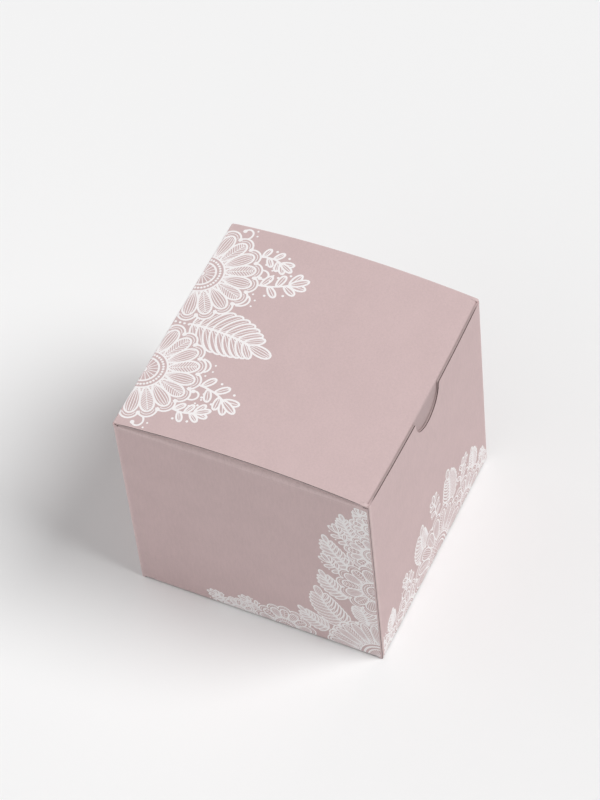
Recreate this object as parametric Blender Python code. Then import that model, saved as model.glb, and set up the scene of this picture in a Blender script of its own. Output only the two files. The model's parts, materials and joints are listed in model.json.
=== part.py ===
"""Tuck-top favor box folded from one piece of printed card, closed, standing on its bottom.

The front panel, the one with the thumb notch, faces -Y and the lid folds on the back panel at +Y.
The origin is at the middle of the bottom, and every length is in metres.
"""

import math

import bmesh
import bpy

# Box, measured over the outside of its panels.
BOX_WIDTH = 0.0520
BOX_DEPTH = 0.0520
BOX_HEIGHT = 0.0503
BOARD = 0.00045

# Gaps that keep the panels apart at a fold, at the glue and where one panel lies on another.
CREASE_GAP = 0.0003
GLUE_GAP = 0.0001
FLAP_GAP = 0.0003
TUCK_GAP = 0.0003

# Lid, arched between its two straight creases.
LID_ARCH = 0.0017
LID_SIDE_SETBACK = 0.0003
ARCH_STEPS = 16

# Tuck flap on the front crease of the lid and of the bottom panel.
TUCK_DEPTH = 0.0120
TUCK_SIDE_CLEARANCE = 0.0006
TUCK_LEAN_DEG = 12
TUCK_CORNER_RADIUS = 0.0055

# Dust flaps on the creases of the side panels.
DUST_TIP_GAP = 0.0080
DUST_CREASE_SETBACK = 0.0008
DUST_FRONT_SHOULDER = 0.0012
DUST_FRONT_SETBACK = 0.0032
DUST_BACK_SETBACK = 0.0010
DUST_SHOULDER = 0.0090
DUST_FRONT_TAPER = 0.0015
DUST_CORNER_RADIUS = 0.0030

# Front panel, with raw top and bottom edges.
FRONT_TOP_DROP = 0.0005
FRONT_BOTTOM_RISE = 0.0002
FRONT_BOW = 0.0005
BOW_STEPS = 14
NOTCH_RADIUS = 0.0053
NOTCH_SHOULDER_RADIUS = 0.0005
NOTCH_STEPS = 20
SHOULDER_STEPS = 4

# Glue tab behind the left panel.
TAB_WIDTH = 0.0120
TAB_END_CLEARANCE = 0.0020
TAB_END_SLANT = 0.0035
RAW_EDGE_SETBACK = 0.0001

CORNER_STEPS = 8
SMOOTH_LIMIT_DEG = 30
CARD_ROUGHNESS = 0.75

# Planes shared by several panels.
HALF_WIDTH = BOX_WIDTH / 2
HALF_DEPTH = BOX_DEPTH / 2
SIDE_FOLD_TOP = BOX_HEIGHT - BOARD - FLAP_GAP
SIDE_FOLD_BOTTOM = BOARD + FLAP_GAP
TUCK_CREASE_Y = -HALF_DEPTH + BOARD + TUCK_GAP
LID_SPAN = HALF_DEPTH - TUCK_CREASE_Y
LID_HALF_WIDTH = HALF_WIDTH - LID_SIDE_SETBACK
TAB_FACE_X = -HALF_WIDTH + BOARD + GLUE_GAP
TUCK_HALF_WIDTH = -TAB_FACE_X - BOARD - TUCK_SIDE_CLEARANCE
DUST_LENGTH = (BOX_WIDTH - DUST_TIP_GAP) / 2
ARCH_RADIUS = (LID_SPAN**2 / 4 + LID_ARCH**2) / (2 * LID_ARCH)
ARCH_END_SLOPE = math.asin(LID_SPAN / 2 / ARCH_RADIUS)
TUCK_LEAN = math.radians(TUCK_LEAN_DEG)
QUARTER_TURN = math.pi / 2

# Card colours, one for each panel, so that the panels can be told apart.
CARD_COLOURS = {
    "front_panel": (0.58, 0.45, 0.45),
    "left_panel": (0.47, 0.36, 0.36),
    "back_panel": (0.50, 0.38, 0.38),
    "right_panel": (0.55, 0.42, 0.42),
    "glue_tab": (0.80, 0.77, 0.74),
    "lid_panel": (0.62, 0.48, 0.48),
    "tuck_flap": (0.50, 0.37, 0.37),
    "left_dust_flap": (0.54, 0.41, 0.41),
    "right_dust_flap": (0.53, 0.40, 0.40),
    "bottom_panel": (0.60, 0.46, 0.46),
    "bottom_tuck_flap": (0.49, 0.37, 0.37),
    "bottom_left_dust_flap": (0.52, 0.40, 0.40),
    "bottom_right_dust_flap": (0.51, 0.39, 0.39),
}


def clear_scene():
    for obj in list(bpy.data.objects):
        bpy.data.objects.remove(obj, do_unlink=True)


def fold(inside_angle):
    """Where a panel's outer and inner faces end, measured from the fold's outer corner line."""
    outer_end = CREASE_GAP / 2 / math.sin(inside_angle / 2)
    inner_end = outer_end + BOARD / math.tan(inside_angle / 2)
    return outer_end, inner_end


def card_material(name):
    material = bpy.data.materials.new(name + "_card")
    material.use_nodes = True
    shader = material.node_tree.nodes["Principled BSDF"]
    shader.inputs["Base Color"].default_value = (*CARD_COLOURS[name], 1)
    shader.inputs["Roughness"].default_value = CARD_ROUGHNESS
    return material


def arc(centre, radius, start, end, steps):
    """Points on a circle from one angle to another, both ends included."""
    points = []
    for step in range(steps + 1):
        angle = start + (end - start) * step / steps
        across = centre[0] + radius * math.cos(angle)
        along = centre[1] + radius * math.sin(angle)
        points.append((across, along))
    return points


def evenly(low, high, steps):
    """The inner stations of a run cut into equal steps."""
    return [low + (high - low) * step / steps for step in range(1, steps)]


def panel(name, outline, place, origin, across_cuts=(), along_cuts=()):
    """One flat or bent panel of card as a closed solid.

    The outline lists (across, along) points of the outer face. The cuts are the stations where a
    bent panel gets more points. place(across, along, is_inner) gives a point of the outer or inner
    face in the box, and the origin is a point on the panel's fold.
    """
    mesh = bmesh.new()
    corners = [mesh.verts.new((across, along, 0)) for across, along in outline]
    mesh.faces.new(corners)
    cuts = [((at, 0, 0), (1, 0, 0)) for at in across_cuts]
    cuts += [((0, at, 0), (0, 1, 0)) for at in along_cuts]
    for point, normal in cuts:
        everything = mesh.verts[:] + mesh.edges[:] + mesh.faces[:]
        bmesh.ops.bisect_plane(mesh, geom=everything, plane_co=point, plane_no=normal)
    if cuts:
        bmesh.ops.triangulate(mesh, faces=mesh.faces[:])
    outer = mesh.verts[:]
    extruded = bmesh.ops.extrude_face_region(mesh, geom=mesh.faces[:], use_keep_orig=True)
    inner = [item for item in extruded["geom"] if isinstance(item, bmesh.types.BMVert)]
    for verts, is_inner in ((outer, False), (inner, True)):
        for vert in verts:
            point = place(vert.co.x, vert.co.y, is_inner)
            vert.co = [value - base for value, base in zip(point, origin)]
    bmesh.ops.recalc_face_normals(mesh, faces=mesh.faces[:])
    data = bpy.data.meshes.new(name)
    mesh.to_mesh(data)
    mesh.free()
    data.materials.append(card_material(name))
    if cuts:
        data.shade_smooth()
        data.set_sharp_from_angle(angle=math.radians(SMOOTH_LIMIT_DEG))
    obj = bpy.data.objects.new(name, data)
    obj.location = origin
    bpy.context.collection.objects.link(obj)
    return obj


def within(value, low, high):
    return max(low, min(high, value))


def side_panel(name, side, front_end, front_is_folded):
    """A left or right wall, folded at its back, top and bottom edges."""
    outer_end, inner_end = fold(QUARTER_TURN)
    front_outer = front_end + (outer_end if front_is_folded else 0)
    front_inner = front_end + (inner_end if front_is_folded else 0)
    outline = [
        (front_outer, SIDE_FOLD_BOTTOM + outer_end),
        (HALF_DEPTH - outer_end, SIDE_FOLD_BOTTOM + outer_end),
        (HALF_DEPTH - outer_end, SIDE_FOLD_TOP - outer_end),
        (front_outer, SIDE_FOLD_TOP - outer_end),
    ]

    def place(across, along, is_inner):
        if not is_inner:
            return side * HALF_WIDTH, across, along
        across = within(across, front_inner, HALF_DEPTH - inner_end)
        along = within(along, SIDE_FOLD_BOTTOM + inner_end, SIDE_FOLD_TOP - inner_end)
        return side * (HALF_WIDTH - BOARD), across, along

    panel(name, outline, place, (side * HALF_WIDTH, HALF_DEPTH, SIDE_FOLD_BOTTOM))


def back_panel():
    """The wall that the lid and the bottom panel fold on."""
    side_outer, side_inner = fold(QUARTER_TURN)
    top_outer, top_inner = fold(QUARTER_TURN + ARCH_END_SLOPE)
    edge = HALF_WIDTH - side_outer
    outline = [
        (-edge, side_outer),
        (edge, side_outer),
        (edge, BOX_HEIGHT - top_outer),
        (-edge, BOX_HEIGHT - top_outer),
    ]

    def place(across, along, is_inner):
        if not is_inner:
            return across, HALF_DEPTH, along
        across = within(across, side_inner - HALF_WIDTH, HALF_WIDTH - side_inner)
        along = within(along, side_inner, BOX_HEIGHT - top_inner)
        return across, HALF_DEPTH - BOARD, along

    panel("back_panel", outline, place, (0, HALF_DEPTH, 0))


def notch_outline(top):
    """The thumb notch from right to left, with rounded shoulders."""
    middle = top - NOTCH_SHOULDER_RADIUS
    shoulder = NOTCH_RADIUS + NOTCH_SHOULDER_RADIUS
    right = arc(
        (shoulder, middle), NOTCH_SHOULDER_RADIUS, QUARTER_TURN, math.pi, SHOULDER_STEPS
    )
    bowl = arc((0, middle), NOTCH_RADIUS, 0, -math.pi, NOTCH_STEPS)
    left = arc((-shoulder, middle), NOTCH_SHOULDER_RADIUS, 0, QUARTER_TURN, SHOULDER_STEPS)
    return right + bowl[1:-1] + left


def front_panel():
    """The wall with raw top and bottom edges, whose top bows outwards between its corners."""
    side_outer, side_inner = fold(QUARTER_TURN)
    left = TAB_FACE_X + side_outer
    right = HALF_WIDTH - side_outer
    top = BOX_HEIGHT - FRONT_TOP_DROP
    outline = [(left, FRONT_BOTTOM_RISE), (right, FRONT_BOTTOM_RISE), (right, top)]
    outline += notch_outline(top)
    outline.append((left, top))

    def place(across, along, is_inner):
        from_middle = within(across / HALF_WIDTH, -1, 1)
        bow = FRONT_BOW * (1 - from_middle**2) * (along / top) ** 2
        if not is_inner:
            return across, -HALF_DEPTH - bow, along
        across = within(across, TAB_FACE_X + side_inner, HALF_WIDTH - side_inner)
        return across, -HALF_DEPTH - bow + BOARD, along

    panel(
        "front_panel",
        outline,
        place,
        (HALF_WIDTH, -HALF_DEPTH, 0),
        across_cuts=evenly(left, right, BOW_STEPS),
        along_cuts=evenly(FRONT_BOTTOM_RISE, top, BOW_STEPS),
    )


def glue_tab():
    """The strip folded from the front panel and glued behind the left panel."""
    outer_end, inner_end = fold(QUARTER_TURN)
    crease = -HALF_DEPTH + outer_end
    bottom = SIDE_FOLD_BOTTOM + BOARD + TAB_END_CLEARANCE
    top = SIDE_FOLD_TOP - BOARD - TAB_END_CLEARANCE
    outline = [
        (crease, bottom),
        (-HALF_DEPTH + TAB_WIDTH, bottom + TAB_END_SLANT),
        (-HALF_DEPTH + TAB_WIDTH, top - TAB_END_SLANT),
        (crease, top),
    ]

    def place(across, along, is_inner):
        if not is_inner:
            return TAB_FACE_X, across, along
        return TAB_FACE_X + BOARD, max(across, -HALF_DEPTH + inner_end), along

    panel("glue_tab", outline, place, (TAB_FACE_X, -HALF_DEPTH, 0))


def closing_panel(name, level, up, arch):
    """The lid or the bottom panel. Along is the distance from its crease on the back panel."""
    slope = ARCH_END_SLOPE if arch else 0
    back_outer, back_inner = fold(QUARTER_TURN + slope)
    front_outer, front_inner = fold(QUARTER_TURN + slope - TUCK_LEAN)
    outline = [
        (-LID_HALF_WIDTH, back_outer),
        (LID_HALF_WIDTH, back_outer),
        (LID_HALF_WIDTH, LID_SPAN - front_outer),
        (-LID_HALF_WIDTH, LID_SPAN - front_outer),
    ]

    def place(across, along, is_inner):
        if is_inner:
            along = within(along, back_inner, LID_SPAN - front_inner)
        depth = BOARD if is_inner else 0
        if not arch:
            return across, HALF_DEPTH - along, level - up * depth
        angle = math.asin((along - LID_SPAN / 2) / ARCH_RADIUS)
        radius = ARCH_RADIUS - depth
        forward = LID_SPAN / 2 + radius * math.sin(angle)
        height = LID_ARCH - ARCH_RADIUS + radius * math.cos(angle)
        return across, HALF_DEPTH - forward, level + up * height

    cuts = evenly(back_outer, LID_SPAN - front_outer, ARCH_STEPS) if arch else ()
    panel(name, outline, place, (0, HALF_DEPTH, level), along_cuts=cuts)


def tuck_flap(name, level, up, slope):
    """The flap folded inside the front panel. Along is the distance from its crease."""
    outer_end, inner_end = fold(QUARTER_TURN + slope - TUCK_LEAN)
    middle = TUCK_HALF_WIDTH - TUCK_CORNER_RADIUS
    turn = TUCK_DEPTH - TUCK_CORNER_RADIUS
    outline = [(-TUCK_HALF_WIDTH, outer_end), (TUCK_HALF_WIDTH, outer_end)]
    outline += arc((middle, turn), TUCK_CORNER_RADIUS, 0, QUARTER_TURN, CORNER_STEPS)
    outline += arc((-middle, turn), TUCK_CORNER_RADIUS, QUARTER_TURN, math.pi, CORNER_STEPS)

    def place(across, along, is_inner):
        if is_inner:
            along = max(along, inner_end)
        depth = BOARD if is_inner else 0
        inward = along * math.sin(TUCK_LEAN) + depth * math.cos(TUCK_LEAN)
        away = depth * math.sin(TUCK_LEAN) - along * math.cos(TUCK_LEAN)
        return across, TUCK_CREASE_Y + inward, level + up * away

    panel(name, outline, place, (0, TUCK_CREASE_Y, level))


def dust_flap(name, side, level, up):
    """The flap folded in from a side panel under the lid or over the bottom panel.

    Across is the distance from its crease. The front edge steps back at a shoulder beside the wall,
    to leave room for the tuck flap. The back edge starts with a 45 degree cut, so that the flap
    stays clear of the lid as both lift.
    """
    outer_end, inner_end = fold(QUARTER_TURN)
    back = HALF_DEPTH - DUST_BACK_SETBACK
    front = -HALF_DEPTH + DUST_FRONT_SETBACK
    inset_back = back - DUST_SHOULDER
    inset_front = front + DUST_FRONT_TAPER
    turn = DUST_LENGTH - DUST_CORNER_RADIUS
    outline = [(outer_end, back), (DUST_SHOULDER, inset_back)]
    outline += arc(
        (turn, inset_back - DUST_CORNER_RADIUS),
        DUST_CORNER_RADIUS,
        QUARTER_TURN,
        0,
        CORNER_STEPS,
    )
    outline += arc(
        (turn, inset_front + DUST_CORNER_RADIUS),
        DUST_CORNER_RADIUS,
        0,
        -QUARTER_TURN,
        CORNER_STEPS,
    )
    outline.append((DUST_FRONT_SHOULDER, front))
    outline.append((outer_end, -HALF_DEPTH + DUST_CREASE_SETBACK))

    def place(across, along, is_inner):
        if is_inner:
            across = max(across, inner_end)
        depth = BOARD if is_inner else 0
        return side * (HALF_WIDTH - across), along, level - up * depth

    panel(name, outline, place, (side * HALF_WIDTH, 0, level))


def closure(closing_name, prefix, level, fold_level, up, arch):
    """A closing panel with its tuck flap, and the two dust flaps that it lies on."""
    closing_panel(closing_name, level, up, arch)
    tuck_flap(prefix + "tuck_flap", level, up, ARCH_END_SLOPE if arch else 0)
    dust_flap(prefix + "left_dust_flap", -1, fold_level, up)
    dust_flap(prefix + "right_dust_flap", 1, fold_level, up)


clear_scene()
front_panel()
side_panel("left_panel", -1, -HALF_DEPTH + RAW_EDGE_SETBACK, False)
side_panel("right_panel", 1, -HALF_DEPTH, True)
back_panel()
glue_tab()
closure("lid_panel", "", BOX_HEIGHT, SIDE_FOLD_TOP, 1, True)
closure("bottom_panel", "bottom_", 0, SIDE_FOLD_BOTTOM, -1, False)
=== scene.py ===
"""Looks of a small tuck-top favor box: card with rounded folds, printed lace and a stage.

The file is laid out as an add-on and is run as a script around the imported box. Lengths are in
metres. The lace is drawn in millimetres, with complex numbers for its points: across the print,
plus i times up it.
"""

import json
import math

import bmesh
import bpy
import numpy as np
from bpy.props import FloatProperty, FloatVectorProperty, IntProperty, PointerProperty
from bpy.types import Operator, Panel, PropertyGroup
from mathutils import Matrix, Vector
from mathutils.geometry import delaunay_2d_cdt


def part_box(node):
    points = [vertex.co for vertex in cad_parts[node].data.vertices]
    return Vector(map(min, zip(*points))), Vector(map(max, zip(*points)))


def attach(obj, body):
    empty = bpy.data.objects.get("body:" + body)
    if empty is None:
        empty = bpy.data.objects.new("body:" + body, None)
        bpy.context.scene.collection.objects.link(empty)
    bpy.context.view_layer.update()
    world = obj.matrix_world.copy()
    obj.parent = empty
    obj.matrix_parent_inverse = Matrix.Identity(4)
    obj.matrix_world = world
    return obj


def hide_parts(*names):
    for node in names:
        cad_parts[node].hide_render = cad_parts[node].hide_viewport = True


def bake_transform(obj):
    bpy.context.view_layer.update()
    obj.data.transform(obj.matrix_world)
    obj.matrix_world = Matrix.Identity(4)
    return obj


bl_info = {
    "name": "Favor Box Looks",
    "version": (1, 0, 0),
    "blender": (4, 5, 0),
    "location": "3D View > Sidebar > Favor Box",
    "description": "Builds the card, the printed lace and the stage around a packed favor box",
    "category": "Object",
}

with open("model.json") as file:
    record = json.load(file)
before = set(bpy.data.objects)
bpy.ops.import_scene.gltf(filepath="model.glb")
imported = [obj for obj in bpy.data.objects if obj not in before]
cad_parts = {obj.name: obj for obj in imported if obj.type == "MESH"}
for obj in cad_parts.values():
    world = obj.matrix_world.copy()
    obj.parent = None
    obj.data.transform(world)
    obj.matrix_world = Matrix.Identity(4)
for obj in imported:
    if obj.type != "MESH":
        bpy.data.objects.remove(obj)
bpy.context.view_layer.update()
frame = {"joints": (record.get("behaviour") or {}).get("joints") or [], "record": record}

# Crease lines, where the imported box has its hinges.
CREASE = {joint["name"]: Vector(joint["pos_m"]) for joint in frame["joints"]}
HALF_WIDTH = CREASE["right_dust_crease"].x
HALF_DEPTH = CREASE["lid_hinge"].y
TOP = CREASE["lid_hinge"].z
BOTTOM = CREASE["bottom_hinge"].z
FLAP_TOP = CREASE["right_dust_crease"].z
FLAP_BOTTOM = CREASE["bottom_right_dust_crease"].z

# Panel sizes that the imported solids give.
BACK_LOW, BACK_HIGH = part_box("back_panel")
FRONT_LOW, FRONT_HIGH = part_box("front_panel")
TAB_LOW, TAB_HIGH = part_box("glue_tab")
TUCK_HALF_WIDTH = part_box("tuck_flap")[1].x
DUST_TIP = -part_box("left_dust_flap")[1].x
BOARD = BACK_HIGH.y - BACK_LOW.y
FRONT_BOW = -HALF_DEPTH - FRONT_LOW.y

# Folds and cut edges. A seam lies a lip's length beside its fold, on the flat card. The rub, lighter
# print that also paints a highlight, is a reach inwards from a cut edge. The shade line, a dark line of
# painted shade along a cut edge, is a depth from the printed face; near a tight fold its painted shade
# gives way to the print's colour over a reach.
SEAM_LIP = 0.0006
TIGHT_FOLD = 0.0020
EDGE_RUB_AND_HIGHLIGHT = 0.00025
SHADE_LINE_DEPTH = 0.00018
SHADE_FADE_REACH = 0.0020

# Sleeve.
GLUE_GAP = 0.00002
TAB_SLANT = 0.0035
NOTCH_RADIUS = 0.0053
NOTCH_SHOULDER = 0.0005
CORNER_DROP = 0.00015
UNDER_LID = 0.00005
GROUND_PLAY = 0.00005
DUST_LIFT = 0.00020
WALL_HEAD = FLAP_TOP + DUST_LIFT
WALL_FOOT = BOTTOM + GROUND_PLAY

# Lid and bottom panel.
LID_CREASE_SETBACK = 0.00020
LID_EDGE_SETBACK = 0.00010
LID_EAR_SETBACK = 0.00020
LID_TAPER = 0.0008
LID_HALF_WIDTH = HALF_WIDTH - LID_EDGE_SETBACK
EAR_SLIT = 0.00005
BOTTOM_CREASE_SETBACK = 0.00050
BOTTOM_EDGE_SETBACK = 0.0011
BOTTOM_HALF_WIDTH = HALF_WIDTH - BOTTOM_EDGE_SETBACK

# Tuck flaps.
TUCK_PLAY = 0.00002
TUCK_FOLD_Y = -HALF_DEPTH + BOARD + TUCK_PLAY
TUCK_FOLD_SETBACK = 0.0008
TUCK_FOLD_HALF = HALF_WIDTH - TUCK_FOLD_SETBACK
TUCK_SHOULDER = 0.0010
TUCK_LEAN_DEG = 0.2
TUCK_KNEE = 0.0083
TUCK_KNEE_RADIUS = 0.0140
TUCK_TIP_LEAN_DEG = 24
TUCK_DEPTH = 0.0120
TUCK_CORNER = 0.0055

# Dust flaps.
DUST_SPRING = 0.0013
DUST_SPRING_REACH = 0.0016
BOTTOM_FLAP_STEP = 0.00050
DUST_SHOULDER = 0.0090
DUST_FRONT_SHOULDER = 0.0012
DUST_FRONT_SETBACK = 0.0032
DUST_BACK_SETBACK = 0.0010
DUST_CREASE_SETBACK = 0.0008
DUST_TAPER = 0.0015
DUST_CORNER = 0.0030

# Folds among the bends of a closing panel's profile. Its arch lies between them, and its last
# bend is the tuck flap's knee.
BACK_FOLD = 0
FRONT_FOLD = 2

# Windows of the lace on its panels.
LACE_REACH = 0.0225
LACE_MARGIN = 0.00030
LACE_FOOT_MARGIN = 0.00005

# Lines, dots and leaves of the lace. Veins and ribs end at angles round the leaf.
SHARPEST_INSET = 0.5
CURL_GROWTH = 1.4
CURL_STEPS = 14
DOT_SIDES = 8
LEAF_LEAST_STEPS = 8
LEAF_STEPS_PER_MM = 2.0
LEAF_SWELL = 0.25
VEIN_ENDS_DEG = (32, 148)
RIB_ENDS_DEG = (40, 138)
RIB_LEAN_DEG = 16
RIB_SHARE = 0.8

# Buds: each petal's turn and its length, and the petals' width, as shares of the bud.
BUD_TURNS_AND_SHARES = ((-34, 1), (34, 1), (0, 1.15))
BUD_PETAL_WIDTH_SHARE = 0.42
BUD_PETAL_SWELL = 0.1

# Fans, from the hub outwards, as shares of the fan's radius. A scallop stands on the rim.
FAN_HUB_SHARE = 0.055
FAN_RAY_SHARES = (0.07, 0.24)
FAN_BAND_SHARES = (0.40, 0.25)
FAN_BAND_PEARLS_SHARE = 0.325
FAN_BAND_PEARL_SHARE = 0.024
FAN_THREAD_RING_SHARE = 0.44
FAN_RING_STEPS_PER_PETAL = 6
FAN_PETAL_SHARES = (0.40, 0.94)
FAN_PETAL_WIDTH_SHARE = 1.34
FAN_PETAL_SWELL = 0.32
FAN_PETAL_VEINS = 4
FAN_RIBS_PER_MM = 0.9
FAN_SEAM_PEARL_SHARES = ((0.95, 0.042), (0.68, 0.018))
FAN_RIM_SHARE = 0.88
SCALLOP_HALF_TURN_DEG = 84
SCALLOP_STEPS = 12
INNER_SCALLOP_SHARE = 0.68
INNER_SCALLOP_TURN_SHARE = 0.8

# Plumes, as shares of their rib or of their leaflets' size.
PLUME_RIB_SHARES = (0.06, 0.90)
PLUME_SPREAD_DEG = 58
PLUME_CLOSING_DEG = 21
LEAFLET_LEAST_SHARE = 0.45
LEAFLET_GROWTH_SHARE = 0.55
LEAFLET_GROWTH_START = 0.25
LEAFLET_GROWTH_SPAN = 0.70
LEAFLET_WIDTH_SHARE = 0.40
LEAFLET_SWELL = 0.15
LEAFLET_VEINS = 2
END_LEAF_SHARE = 0.8
END_LEAF_WIDTH_SHARE = 0.36
END_LEAF_SWELL = 0.1
END_LEAF_VEINS = 3

# Tendrils: pearl, dots and the dots' distance from the curl, as shares of the line's width.
TENDRIL_PEARL_SHARE = 1.15
TENDRIL_DOT_SHARE = 0.55
TENDRIL_DOT_AWAY_SHARE = 2.4
TENDRIL_DOTTED = slice(5, 11, 2)

# Sprigs: leaves and the bud as shares of the leaves' size, berries of the line's width.
SPRIG_LEAF_EVERY = 3
SPRIG_FIRST_LEAF = 2
SPRIG_SPREAD_DEG = 58
SPRIG_LEAF_WIDTH_SHARE = 0.42
SPRIG_LEAF_SWELL = 0.2
SPRIG_BUD_SHARE = 1.1
BERRY_AWAY_SHARE = 0.9
BERRY_SHARE = 0.7

# Row of pearls on the lid's crease, in millimetres.
CREASE_PEARLS_FROM_TO = (0.5, 3.4)
CREASE_PEARL_PITCH = 0.95
CREASE_PEARL_RADIUS = 0.28

# Paper. The noises run from 0 to 1. Mottling mixes grain, fibres and clouds, and relief mixes
# grain and fibres. A range is where a mix of noises starts and ends its change.
NOISE_MIDDLE = 0.5
FIBRE_STRETCH = (1, 1, 0.22)
MOTTLING_SHARES = (0.45, 0.35, 0.2)
MOTTLING_RANGE = (0.36, 0.64)
RELIEF_SHARES = (0.6, 0.4)
RUB_AND_HIGHLIGHT_RANGE = (0.30, 0.55)
UNPRINTED_SHARES = (0.5, 0.5)
UNPRINTED_RANGE = (0.3, 0.7)
UNPRINTED_TONES = (0.955, 1.03)
CARD_ROUGHNESS_SPREAD = 0.12
CARD_SPECULAR = 0.35
INK_RANGE = (0.35, 0.6)
INK_TONES = (0.95, 1.0)
INK_SMOOTHER = 0.08
INK_ROUGHNESS_SPREAD = 0.1

# Mesh steps.
FOLD_STEPS = 8
ARCH_STEPS = 48
BOW_STEPS = 24
ROUND_STEPS = 8
NOTCH_STEPS = 32
SMOOTH_LIMIT_DEG = 30
NEARNESS = 1e-8
PLACE_DIGITS = 7

# Camera, found from the corners of the box in the picture.
CAMERA_PLACE = (-0.3391918, -0.1969335, 0.5500681)
CAMERA_AZIMUTH_DEG = -59.8009
CAMERA_ELEVATION_DEG = 52.5446
CAMERA_ROLL_DEG = -6.8719
CAMERA_LENS_MM = 152.88
CAMERA_SENSOR_MM = 36
CAMERA_NEAR = 0.05
CAMERA_FAR = 20

# Stage. A floor gets the light of an even sky from this height on average, as a sine.
FLOOR_HALF = 3.0
FLOOR_GAP = 0.00002
FLOOR_CLOUD_SHARE = 1 / 20
FLOOR_TONES = (0.998, 1.002)
FLOOR_ROUGHNESS = 0.9
MEAN_HEIGHT_OF_LIGHT = 2 / 3

# A millimetre in metres, and a quarter turn in radians.
MM = 0.001
QUARTER_TURN = math.pi / 2


def unit(value):
    """An arrow of length one in the same direction."""
    return value / abs(value)


def cis(degrees):
    """A unit arrow at an angle from the right, as a complex number."""
    return np.exp(1j * np.radians(degrees))


def arrow_to(azimuth, elevation):
    """A unit arrow, turned from the front towards the right and raised above the horizon."""
    flat = math.cos(elevation)
    return Vector((flat * math.sin(azimuth), -flat * math.cos(azimuth), math.sin(elevation)))


class Profile:
    """The outer face of folded card seen along its creases, walked with the outside on the right.

    Every inner corner is a left turn, rounded by its radius. A place on it is the distance walked.
    """

    def __init__(self, corners, radii, steps):
        points = [corners[0]]
        headings = [unit(corners[1] - corners[0])]
        ends = []
        for before, corner, after, radius, count in zip(
            corners, corners[1:], corners[2:], radii, steps
        ):
            into = unit(corner - before)
            turn = np.angle(unit(after - corner) / into)
            centre = corner - into * radius * math.tan(turn / 2) + 1j * into * radius
            ends.append((len(points), len(points) + count))
            for heading in into * np.exp(1j * turn * np.linspace(0, 1, count + 1)):
                points.append(centre - 1j * heading * radius)
                headings.append(heading)
        points.append(corners[-1])
        headings.append(headings[-1])
        self.points = np.array(points)
        self.headings = np.array(headings)
        self.walked = np.append(0, np.cumsum(abs(np.diff(self.points))))
        self.bends = [(self.walked[first], self.walked[last]) for first, last in ends]
        self.length = self.walked[-1]

    def heading(self, walked):
        return unit(np.interp(walked, self.walked, self.headings))

    def at(self, walked, depth):
        """The point at a distance walked, sunk into the card by a depth."""
        return np.interp(walked, self.walked, self.points) + 1j * self.heading(walked) * depth

    def stations(self, low, high):
        """Where a piece between two distances is cut across, to bend and to keep its flats flat."""
        lips = [(start - SEAM_LIP, end + SEAM_LIP) for start, end in self.bends]
        places = np.unique(np.round(np.append(self.walked, lips), PLACE_DIGITS))
        return places[(places > low + NEARNESS) & (places < high - NEARNESS)]

    def near_fold(self, walked, reach):
        """1 on a tight bend, fading to 0 at a distance from it."""
        nearest = np.full(len(walked), np.inf)
        for start, end in self.bends:
            if 0 < end - start < TIGHT_FOLD:
                nearest = np.minimum(nearest, np.maximum(start - walked, walked - end))
        return np.clip(1 - nearest / reach, 0, 1)


def flat_cut(outlines, lines):
    """Triangles of flat outlines that may overlap, split along lines too.

    Returns the points, the triangles, and for each triangle the outlines that hold it.
    """
    corners = []
    faces = []
    edges = []
    for outline in outlines:
        faces.append(list(range(len(corners), len(corners) + len(outline))))
        corners.extend(outline)
    for start, end in lines:
        edges.append((len(corners), len(corners) + 1))
        corners.extend((start, end))
    flat = [Vector((corner.real, corner.imag)) for corner in corners]
    points, _, triangles, _, _, holders = delaunay_2d_cdt(flat, edges, faces, 0, NEARNESS)
    return np.array([complex(point.x, point.y) for point in points]), triangles, holders


def closed_sheet(name, points, triangles, place, depths, materials, fades=None):
    """A closed mesh between depths of a surface.

    Its materials are those of the outer side, of the rim's bands from the outside, and of the
    inner side. Each fade is a named value that the materials use, as a function of the flat points.
    """
    used = np.unique(triangles)
    renumbered = {old: new for new, old in enumerate(used)}
    outer = [tuple(renumbered[corner] for corner in triangle) for triangle in triangles]
    count = len(used)
    sides = {(a, b) for face in outer for a, b in zip(face, face[1:] + face[:1])}
    edge = [(a, b) for a, b in sorted(sides) if (b, a) not in sides]
    layers = [count * number for number in range(len(depths))]
    faces = [outer]
    for low, high in zip(layers, layers[1:]):
        faces.append([(b + low, a + low, a + high, b + high) for a, b in edge])
    faces.append([tuple(corner + layers[-1] for corner in reversed(face)) for face in outer])
    kept = points[used]
    vertices = np.concatenate([place(kept, depth) for depth in depths])
    data = bpy.data.meshes.new(name)
    data.from_pydata(vertices.tolist(), [], [face for group in faces for face in group])
    indices = []
    for group, material in zip(faces, materials):
        if material.name not in data.materials:
            data.materials.append(material)
        indices += [data.materials.find(material.name)] * len(group)
    data.polygons.foreach_set("material_index", indices)
    for fade_name, fade in (fades or {}).items():
        layer = data.attributes.new(fade_name, "FLOAT", "POINT")
        layer.data.foreach_set("value", np.tile(fade(kept), len(depths)))
    mesh = bmesh.new()
    mesh.from_mesh(data)
    bmesh.ops.delete(mesh, geom=[v for v in mesh.verts if not v.link_faces], context="VERTS")
    bmesh.ops.recalc_face_normals(mesh, faces=mesh.faces[:])
    mesh.to_mesh(data)
    mesh.free()
    data.shade_smooth()
    data.set_sharp_from_angle(angle=math.radians(SMOOTH_LIMIT_DEG))
    obj = bpy.data.objects.new(name, data)
    bpy.context.scene.collection.objects.link(obj)
    return obj


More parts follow.
